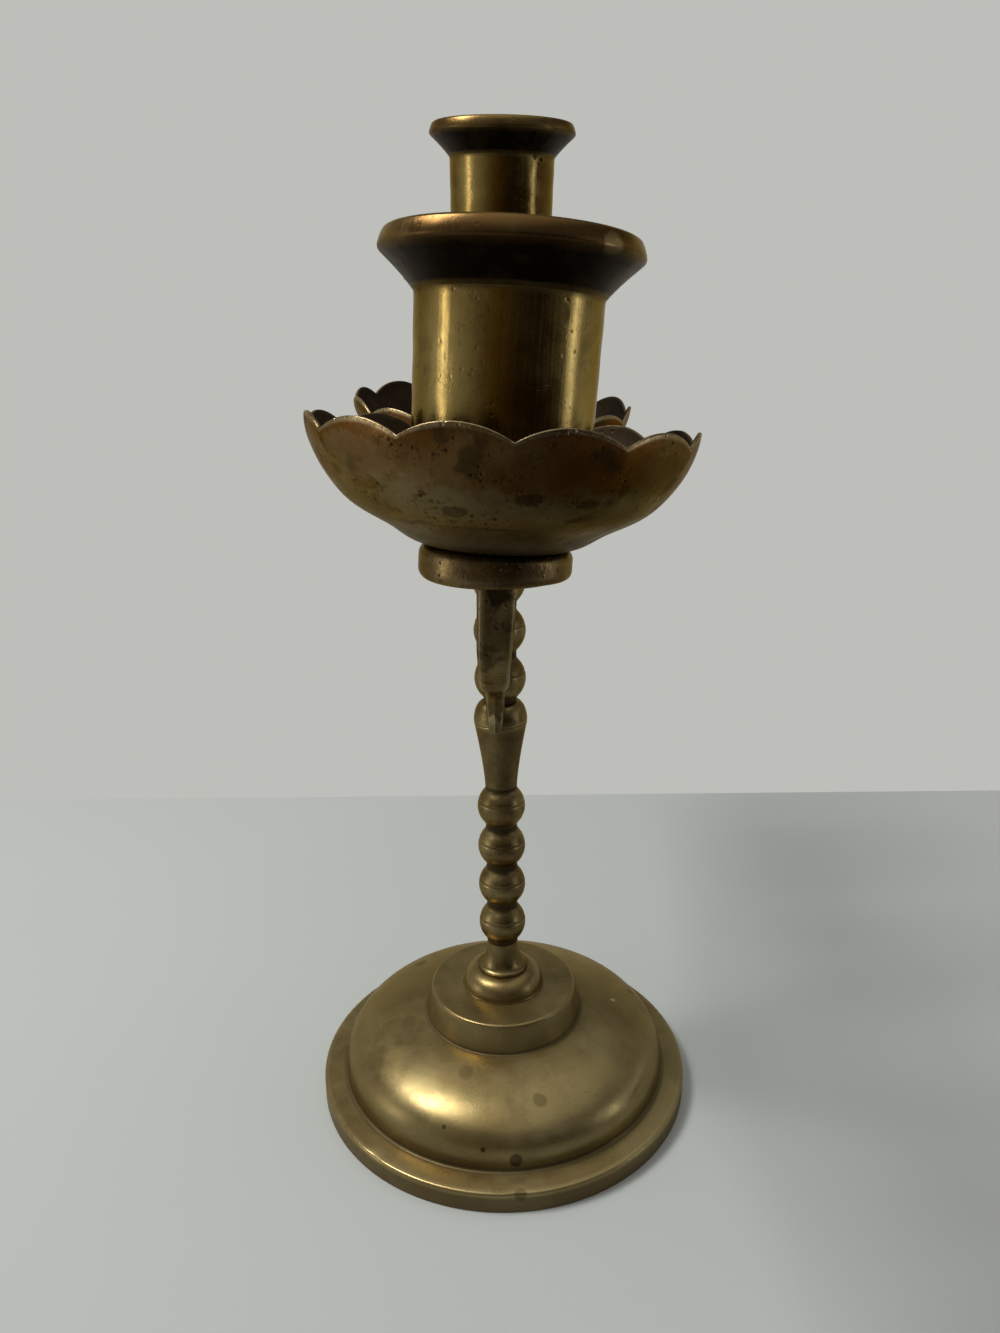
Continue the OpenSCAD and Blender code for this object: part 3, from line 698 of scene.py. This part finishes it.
# ---- Vase and hub ----
# Between the beads the stem swells in a plain trumpet. A shoulder closes over it, with a sharp turned
# groove between the two, and the outer arms are brazed to that shoulder.
groove_depth, groove_h, vase_darkening = 0.25, 0.35, 0.4
vase_line = outline(
    [(rod_hole_r, vase_z, 0), (neck_r, vase_z, 0)]
    + [(core_r + (vase_r - core_r) * s ** 1.35, vase_z + vase_h * s, 0) for s in np.linspace(0.03, 0.97, 30)]
    + [(vase_r, hub_z, 0.35), (rod_hole_r, hub_z, 0)], closed=True, spacing=0.8)
# The whole vase is made darker and duller through a lower edge value
vase_line = [(radius, height, edge - vase_darkening) for radius, height, edge in vase_line]
dress(turned("Vase", vase_line, around=96, closed=True), stem_brass, "stem_brass", "vase")

hub_line = outline(
    [(rod_hole_r, hub_z, 0), (vase_r - groove_depth, hub_z, 0.2), (vase_r, hub_z + groove_h, 0.2)]
    + [(core_r + (vase_r - core_r) * math.cos(a), hub_z + groove_h + (hub_h - groove_h) * math.sin(a), 0)
       for a in np.linspace(0.04, math.pi / 2, 22)]
    + [(rod_hole_r, up_z, 0)], closed=True, spacing=0.8)
dress(turned("Arm_hub", hub_line, around=96, closed=True), stem_brass, "stem_brass", "arm_hub")


# ---- Arms ----
# Four cast straps with filed edges. Each starts as a narrow, ridged leaf brazed to the stem, swings
# out and up, and ends upright under its disc. Cast and never polished, they are the dullest pieces.
arm_w, arm_t, seat_h = 6.1, 5.5, 203.8
leaf_w, leaf_h, leaf_t = 3.9, 9, 1.7
outer_reach, inner_reach = 138, 71
stud_below = 8
inner_root_z = up_z + 1.5 * up_pitch
front_root_shift = -1.6

# Each candle set: shift to the right, distance along the row, height, lean and dip in degrees, turn of the petals
candle_sets = {
    "front_outer": (-0.65, -outer_reach, seat_h, 3.7, -3.5, 17.5),
    "front_inner": (-2.1, -inner_reach, seat_h, 3.2, 4.7, 20),
    "centre": (0.9, 0, stem_top_z, 1.3, 4, 9),
    "rear_inner": (0.6, inner_reach, seat_h, -0.8, -1.5, 4),
    "rear_outer": (-0.4, outer_reach, seat_h, 0.9, 3.5, 24),
}


def seat(name):
    """The place of a candle set's own level 0, its axis along the stud."""
    x, y, z, lean, dip, _ = candle_sets[name]
    return (Matrix.Translation((x * MM, y * MM, z * MM))
            @ Matrix.Rotation(math.radians(lean), 4, "Y") @ Matrix.Rotation(math.radians(dip), 4, "X"))


def arm_path(root_r, root_z, reach):
    """The arm's centre line in its own upright plane, from the leaf's foot to the seat, in mm."""
    a = np.array((core_r + arm_t / 2, root_z + hub_h))
    d = np.array((reach, seat_h - stud_below))
    run = d - a
    b = a + run * (0.05, 0.55)
    c = a + run * (1.0, 0.66)
    foot = np.array((root_r + leaf_t - arm_t / 2, root_z))
    path = [foot, (foot + a) / 2]
    for t in np.linspace(0, 1, 60):
        path.append((1 - t) ** 3 * a + 3 * (1 - t) ** 2 * t * b + 3 * (1 - t) * t ** 2 * c + t ** 3 * d)
    return path + [np.array((reach, seat_h - stud_below / 2)), np.array((reach, seat_h))]


# A strap with filed corners is drawn along the path
tree, given = geometry_tree("Cast arm", [
    "Width", "Thickness", "Corner", "Leaf foot", "Leaf height", "Leaf share", "Ridge", "Waist", "Top share",
    "Waist share", "Straight", "Unevenness"], Path="Object", Finish="Material")
arm_tree = tree
path_in = put(tree, "GeometryNodeObjectInfo", {"Object": given["Path"]}).outputs["Geometry"]
section = put(tree, "GeometryNodeCurvePrimitiveQuadrilateral", {"Width": given["Thickness"], "Height": given["Width"]})
softened = put(tree, "GeometryNodeFilletCurve", {
    "Curve": section.outputs[0], "Radius": given["Corner"], "Count": 5}, mode="POLY")
evened = put(tree, "GeometryNodeResampleCurve", {"Curve": softened.outputs[0], "Length": 0.2 * MM}, mode="LENGTH")
strap = put(tree, "GeometryNodeCurveToMesh", {
    "Curve": path_in, "Profile Curve": evened.outputs[0], "Fill Caps": True})

# It narrows to the leaf, and on one side it is wider on top, where it is upright, and slimmer below
out, side, height = put(tree, "ShaderNodeSeparateXYZ", {0: put(tree, "GeometryNodeInputPosition").outputs[0]}).outputs
over_foot = calc(tree, "SUBTRACT", height, given["Leaf foot"])
leaf_end, ridge_end = (product(tree, given["Leaf height"], share) for share in (0.7, 1.5))
climb = fade(tree, over_foot, 0.0, leaf_end, given["Leaf share"], kind="LINEAR")
half_width = product(tree, given["Width"], 0.5)
bend = 20 * MM
waist = product(tree, fade(tree, out, given["Waist"], calc(tree, "ADD", given["Waist"], bend)),
                fade(tree, height, given["Straight"], calc(tree, "SUBTRACT", given["Straight"], bend),
                     given["Top share"], given["Waist share"]))
new_side = product(tree, side, climb, calc(tree, "SUBTRACT", 1.0, waist))
new_side = calc(tree, "SUBTRACT", new_side, product(tree, half_width, waist))

# The leaf's sides fall back from a ridge, and the casting is uneven all over
sideways = calc(tree, "DIVIDE", calc(tree, "ABSOLUTE", side), half_width)
push = product(tree, sideways, fade(tree, over_foot, leaf_end, ridge_end, -1.0, 0.0, kind="LINEAR"), given["Ridge"])
new_place = put(tree, "ShaderNodeCombineXYZ", {"X": calc(tree, "ADD", out, push), "Y": new_side, "Z": height})
shaped = put(tree, "GeometryNodeSetPosition", {"Geometry": strap.outputs[0], "Position": new_place.outputs[0]})
bumps = put(tree, "ShaderNodeTexNoise", {"Scale": 200.0, "Detail": 2.0}).outputs[0]
sway = product(tree, calc(tree, "SUBTRACT", bumps, 0.5), given["Unevenness"])
lift = put(tree, "ShaderNodeVectorMath", {
    0: put(tree, "GeometryNodeInputNormal").outputs[0], "Scale": sway}, operation="SCALE").outputs[0]
end_tree(tree, given, put(tree, "GeometryNodeSetPosition", {"Geometry": shaped.outputs[0], "Offset": lift}))

# Its spots: a small dark mark by the leaf; a painted shadow at the top of the outer arms' face, under the disc; and a
# painted highlight on one facet of the outer arms' leaves, the lit left one in front.
arm_brass = aged_brass(
    "Arm brass", (0.235, 0.188, 0.098), (0.130, 0.096, 0.046), (0.050, 0.035, 0.016), (0.34, 0.50),
    clouds=110, mottle=0.7, stains=0.6, pits=0.5, worn=0.55, grain=1.2,
    spots=[(9.6, 0.7, 135.2, 0.42, 0.9), (140.7, 0.6, 201.4, 2.2, 0.9), (10.6, -1.2, 131.5, 1.7, -0.45)])


def arm(name, root_r, root_z, root_shift=0.0):
    """One arm of a candle set, from a root on the stem. Its waist starts at the turn up to the seat."""
    extra_w, corner, ridge, uneven, turn_up, over_seat = 0.4, 1.2, 1.5, 0.5, 44, 2
    shift, along = candle_sets[name][:2]
    reach = abs(along)
    curve = bpy.data.curves.new(name + "_path", "CURVE")
    curve.dimensions = "3D"
    points = arm_path(root_r, root_z, reach)
    spline = curve.splines.new("POLY")
    spline.points.add(len(points) - 1)
    for p, (r, z) in zip(spline.points, points):
        p.co = (r * MM, 0, z * MM, 1)
    path = stand(name + "_path", curve)
    start = stand(name + "_start", bpy.data.meshes.new(name + "_start"))
    piece = grow(name.capitalize() + "_arm", start, arm_tree, {
        "Path": path, "Width": (arm_w + extra_w) * MM, "Thickness": arm_t * MM, "Corner": corner * MM,
        "Leaf foot": root_z * MM, "Leaf height": leaf_h * MM, "Leaf share": 1.2 * leaf_w / arm_w, "Ridge": ridge * MM,
        "Waist": (reach - turn_up) * MM, "Straight": (seat_h + over_seat) * MM, "Top share": -0.10,
        "Waist share": 0.08, "Unevenness": uneven * MM, "Finish": arm_brass})
    bpy.data.objects.remove(path)
    side = np.abs(points_of(piece.data, "normal")[:, 1])
    mark(piece.data, "edge", 0.7 * np.exp(-((side - 0.7) / 0.12) ** 2))
    mark(piece.data, "own", points_of(piece.data))
    mark(piece.data, "soot_and_shade", np.zeros(len(piece.data.vertices)))
    swing = math.atan2(shift - root_shift, reach)
    turn = -math.pi / 2 + swing if along < 0 else math.pi / 2 - swing
    piece.data.transform(Matrix.Translation((root_shift * MM, 0, 0)) @ Matrix.Rotation(turn, 4, "Z"))
    dress(piece, arm_brass, "arm_brass", name + "_arm")


arm("front_outer", vase_r, hub_z, front_root_shift)
arm("front_inner", up_bead_r, inner_root_z)
arm("rear_inner", up_bead_r, inner_root_z)
arm("rear_outer", vase_r, hub_z)


# ---- Discs ----
# A thick turned disc with rounded edges under each bowl, pitted by old polish and wax.
disc_r, disc_h, disc_round, stud_hole_r = 11.35, 4.3, 1.3, 2.0
disc_line = outline(
    [(stud_hole_r, 0, 0), (disc_r, 0, disc_round), (disc_r, disc_h, disc_round), (stud_hole_r, disc_h, 0)],
    closed=True, spacing=0.6)
disc_brass = aged_brass(
    "Disc brass", (0.130, 0.088, 0.034), (0.062, 0.037, 0.012), (0.032, 0.019, 0.007), (0.25, 0.42),
    clouds=110, mottle=0.7, stains=0.6, pits=0.9, worn=0.3, grain=1.0)


def thicker_left(points):
    """The front disc is a little thicker at its front left, by these shares of the way out."""
    to_left, to_front = 0.055, 0.05
    out = points.copy()
    low = np.clip(1 - points[:, 2] / (disc_h * MM), 0, 1)
    out[:, 2] -= low * np.maximum(0, -to_left * points[:, 0] - to_front * points[:, 1])
    return out


for order, name in enumerate(candle_sets):
    piece = turned(name.capitalize() + "_disc", disc_line, around=96, closed=True, place=seat(name),
                   shift=lathe_step * order, shape=thicker_left if name == "front_outer" else None)
    dress(piece, disc_brass, "disc_brass", name + "_disc")


# ---- Drip bowls ----
# Bowls spun from thin sheet, their rims cut into twelve round petals by hand. Heat and wax have turned
# them brown, with stained rings low on the outside and bright worn edges on the petals.
bowl_r, bowl_floor_r, bowl_h, bowl_t, rim_t, rim_edge = 28, 9.6, 17.9, 0.9, 0.58, 0.22
fullness, flat_depth, petals, petal_dip, hand_error, seed_step = 1.7, 1.8, 12, 2.1, 1.1, 1.7
bowl_z = disc_h


def bowl_wall(rim, height, foot, steps=34):
    """The bowl's outline from floor to rim, in mm, a little flatter low down where it was spun over its chuck."""
    found = []
    for t in np.linspace(0.04, math.pi / 2, steps):
        up = height * (1 - math.cos(t) ** (2 / fullness))
        flat = flat_depth * math.exp(-((up - 2.6) / 2.2) ** 2) * min(1.0, up / 0.4)
        found.append((bowl_floor_r + (rim - bowl_floor_r) * math.sin(t) ** (2 / fullness) - flat, foot + up, 0))
    return found


outside = bowl_wall(bowl_r, bowl_h, 0)
inside = bowl_wall(bowl_r - rim_t, bowl_h - bowl_t, bowl_t)
bowl_line = outline(
    [(stud_hole_r, 0, 0), (bowl_floor_r, 0, 0)] + outside[:-1]
    + [(bowl_r, bowl_h, rim_edge), (bowl_r - rim_t, bowl_h, rim_edge)] + inside[:-1][::-1]
    + [(bowl_floor_r, bowl_t, 0), (stud_hole_r, bowl_t, 0)], closed=True, spacing=0.8, reach=0.4)

# The rim sinks between the petals' tips along circles, a little more here and there
tree, given = geometry_tree("Petalled bowl", [
    "Petals", "Rim radius", "Rim height", "Petal round", "Cut from", "Turn", "Unevenness", "Seed"], Finish="Material")
bowl_tree = tree
position = put(tree, "GeometryNodeInputPosition").outputs[0]
x, y, height = put(tree, "ShaderNodeSeparateXYZ", {0: position}).outputs
pitch = calc(tree, "DIVIDE", 2 * math.pi, given["Petals"])
half = product(tree, pitch, 0.5)
past_tip = calc(tree, "ADD", calc(tree, "ARCTAN2", y, x), half)
from_tip = calc(tree, "SUBTRACT", calc(tree, "FLOORED_MODULO", past_tip, pitch), half)
aside = product(tree, calc(tree, "SINE", from_tip), given["Rim radius"])
squared = calc(tree, "SUBTRACT", calc(tree, "POWER", given["Petal round"], 2.0), calc(tree, "POWER", aside, 2.0))
drop = calc(tree, "SUBTRACT", given["Petal round"], calc(tree, "SQRT", squared))
uneven = put(tree, "ShaderNodeTexNoise", {
    "Vector": position, "W": given["Seed"], "Scale": 55.0, "Detail": 1.0}, noise_dimensions="4D").outputs[0]
uneven = calc(tree, "SUBTRACT", uneven, 0.5)
drop = calc(tree, "SUBTRACT", drop, product(tree, calc(tree, "MINIMUM", uneven, 0.0), 1.6 * MM))
lower = product(tree, drop, fade(tree, height, given["Cut from"], given["Rim height"], kind="LINEAR"))
sunk = put(tree, "ShaderNodeCombineXYZ", {"Z": product(tree, lower, -1.0)}).outputs[0]
scalloped = put(tree, "GeometryNodeSetPosition", {"Geometry": given["Geometry"], "Offset": sunk})

# The wall is beaten a little in and out, more towards the rim, and the bowl is turned to its place
flat_place = put(tree, "ShaderNodeCombineXYZ", {"X": x, "Y": y}).outputs[0]
radial = put(tree, "ShaderNodeVectorMath", {0: flat_place}, operation="NORMALIZE").outputs[0]
away = product(tree, uneven, given["Unevenness"], fade(tree, height, 0.002, 0.012, kind="LINEAR"))
blow = put(tree, "ShaderNodeVectorMath", {0: radial, "Scale": away}, operation="SCALE").outputs[0]
beaten = put(tree, "GeometryNodeSetPosition", {"Geometry": scalloped.outputs[0], "Offset": blow})
by_angle = put(tree, "ShaderNodeCombineXYZ", {"Z": given["Turn"]}).outputs[0]
end_tree(tree, given, put(tree, "GeometryNodeTransform", {"Geometry": beaten.outputs[0], "Rotation": by_angle}))

petal_half = bowl_r * math.sin(math.pi / petals)
petal_round = (petal_half ** 2 + petal_dip ** 2) / (2 * petal_dip)
bowl_spots = [(-19.5, -18.0, 12.5, 7.5, -0.14), (19.5, -18.0, 12.0, 7.0, 0.3),
              (-5.6, -22.0, 6.8, 2.0, 0.6), (3.5, -24.2, 9.0, 2.3, 0.7), (10.9, -21.5, 8.5, 1.9, 0.6)]
bowl_brass = aged_brass(
    "Bowl brass", (0.168, 0.126, 0.060), (0.102, 0.071, 0.030), (0.042, 0.027, 0.012), (0.30, 0.44), black=0.6,
    clouds=60, mottle=0.8, stains=0.7, pits=0.8, worn=0.9, grain=1.1, heat=(8.6, 11.0, (0.112, 0.046, 0.010), 0.95),
    tide=(4.6, 0.35, 0.8), spots=bowl_spots, flat_spots=2.2)


def in_bowl(radius, height):
    """The inside of the bowl, blackened by wax and smoke, and the duller bottom."""
    wall = np.interp(height, [p[1] for p in outside], [p[0] for p in outside])
    return np.where(radius < wall - 0.6 * rim_t, 0.72, np.interp(height, [2.0, 5.5], [0.35, 0.0]))


for order, name in enumerate(candle_sets):
    blank = turned(name + "_blank", bowl_line, around=288, closed=True, soot_and_shade_at=in_bowl)
    piece = grow(name.capitalize() + "_bowl", blank, bowl_tree, {
        "Petals": float(petals), "Rim radius": bowl_r * MM, "Rim height": bowl_h * MM, "Petal round": petal_round * MM,
        "Cut from": (bowl_h - 3 * petal_dip) * MM, "Turn": math.radians(candle_sets[name][5]),
        "Unevenness": hand_error * MM, "Seed": seed_step * order, "Finish": bowl_brass})
    mark(piece.data, "own", points_of(piece.data) + (0, 0, lathe_step * order))
    piece.data.transform(seat(name) @ Matrix.Translation((0, 0, bowl_z * MM)))
    dress(piece, bowl_brass, "bowl_brass", name + "_bowl")


# ---- Candle cups ----
# Cast and turned cups: a plain wall that widens a little upwards, and a flared lip with an upright
# band. They were polished up and down, which left fine upright scratches, and the lips are browner.
cup_h, cup_lift, cup_foot_r, cup_foot_round, cup_r = 41, 0.4, 12.7, 1.5, 13.3
lip_r, lip_band, lip_flare, lip_land, cup_edge = 18.5, 2.6, 5.2, 1.3, 0.65
socket_r, socket_depth, funnel_h, stud_above = 11.1, 27, 5, 4
cup_z = bowl_z + bowl_t + cup_lift
cup_top_z = cup_z + cup_h
flare_z = cup_top_z - lip_band - lip_flare
funnel_z = cup_top_z - funnel_h
socket_z = funnel_z - socket_depth
flare = [(cup_r + (lip_r - cup_r) * (0.75 * s + 0.25 * (1 - math.cos(math.pi / 2 * s))), flare_z + lip_flare * s, 0)
         for s in np.linspace(0.05, 0.70, 14)]
funnel_r = lip_r - cup_edge - lip_land
lip_points = [(0, lip_band, -1.8), (0.20, 1.7, 0), (0.48, 0.9, 0), (0.8, 0.3, 0.4), (1.3, 0, -0.4)]
cup_line = outline(
    [(0, cup_z + stud_above, 0), (stud_hole_r, cup_z + stud_above, 0), (stud_hole_r, cup_z, 0.1),
     (cup_foot_r, cup_z, cup_foot_round), (cup_r, flare_z, 0.3)] + flare
    + [(lip_r - inward, cup_top_z - below, rounding) for inward, below, rounding in lip_points]
    + [(funnel_r, cup_top_z, 0.5), (socket_r, funnel_z, 0.6), (socket_r, socket_z, 0.8), (0, socket_z, 0)], reach=0.6)

# Dark chips and bright wear on the cups, from 1000 mm up on the centre one, the third on the lathe. The last two,
# broad and faint on the front cup's lip band at its left and right, are painted highlights.
cup_marks_and_highlights = [(8.0, -10.6, 1038.3, 0.75, 1.0), (9.5, -9.3, 1037.8, 0.6, 1.0), (8.9, -9.9, 1036.9, 0.4, 0.9),
         (8.9, -9.9, 31.5, 0.35, 0.8), (8.2, -10.4, 34.0, 0.3, 0.8), (12.6, -13.5, 44.3, 1.9, -0.4),
         (-15.7, -9.8, 45.0, 4.0, -0.18), (17.0, -7.4, 45.0, 3.4, -0.14)]
cup_brass = aged_brass(
    "Cup brass", (0.310, 0.228, 0.082), (0.225, 0.155, 0.048), (0.090, 0.052, 0.020), (0.17, 0.28),
    clouds=50, pits=0.2, streaks=0.6, worn=0.10, grain=0.3, black=0.1, dirt_shine=0.08,
    heat=(flare_z - 0.5, flare_z + 1.5, (0.125, 0.068, 0.026), 0.95), spots=cup_marks_and_highlights)


def cup_soot_and_shade(radius, height):
    """The socket and the funnel, where the candle's wax and smoke were, and the flare, darkened as painted shade, with
    a little of it up the lip's band.
    """
    wall = np.interp(height, [socket_z, funnel_z, cup_top_z], [socket_r, socket_r, funnel_r])
    inside = (height > socket_z - 0.1) & (radius < wall + 0.15)
    # Painted shade on the flare, fading out on the lip's band
    flare_share = np.interp(height, [flare_z, flare_z + 0.8, flare_z + 4.2, flare_z + 5.8], [0, 0.82, 0.82, 0.15])
    return np.where(inside, 0.8, flare_share)


def hand_polished(points):
    """The slight waves that years of polishing leave in the cup's wall."""
    angle, height = np.arctan2(points[:, 1], points[:, 0]), points[:, 2] / MM
    wave = np.sin(0.55 * height + 5 * angle) * np.sin(0.23 * height - 3 * angle + 1)
    wave = wave + 0.6 * np.sin(1.1 * height - 7 * angle)
    depth = 0.028 * np.interp(height, [cup_z + 1, cup_z + 4, flare_z - 1, flare_z + 2], [0, 1, 1, 0])
    outer = np.hypot(points[:, 0], points[:, 1]) > (socket_r + 0.8) * MM
    scale = 1 + outer * depth * wave / cup_r
    return points * np.stack((scale, scale, np.ones(len(points))), axis=1)


for order, name in enumerate(candle_sets):
    piece = turned(name.capitalize() + "_cup", cup_line, place=seat(name), shift=lathe_step * order,
                   shape=hand_polished, soot_and_shade_at=cup_soot_and_shade)
    dress(piece, cup_brass, "cup_brass", name + "_cup")


# ---- Studs ----
# A steel stud screws each cup and bowl down onto its disc and into the arm or the stem. All but
# hidden, so the plain solids stay and only get their steel.
for name in candle_sets:
    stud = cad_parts[name + "_stud"]
    for held in stud.material_slots:
        held.material = steel
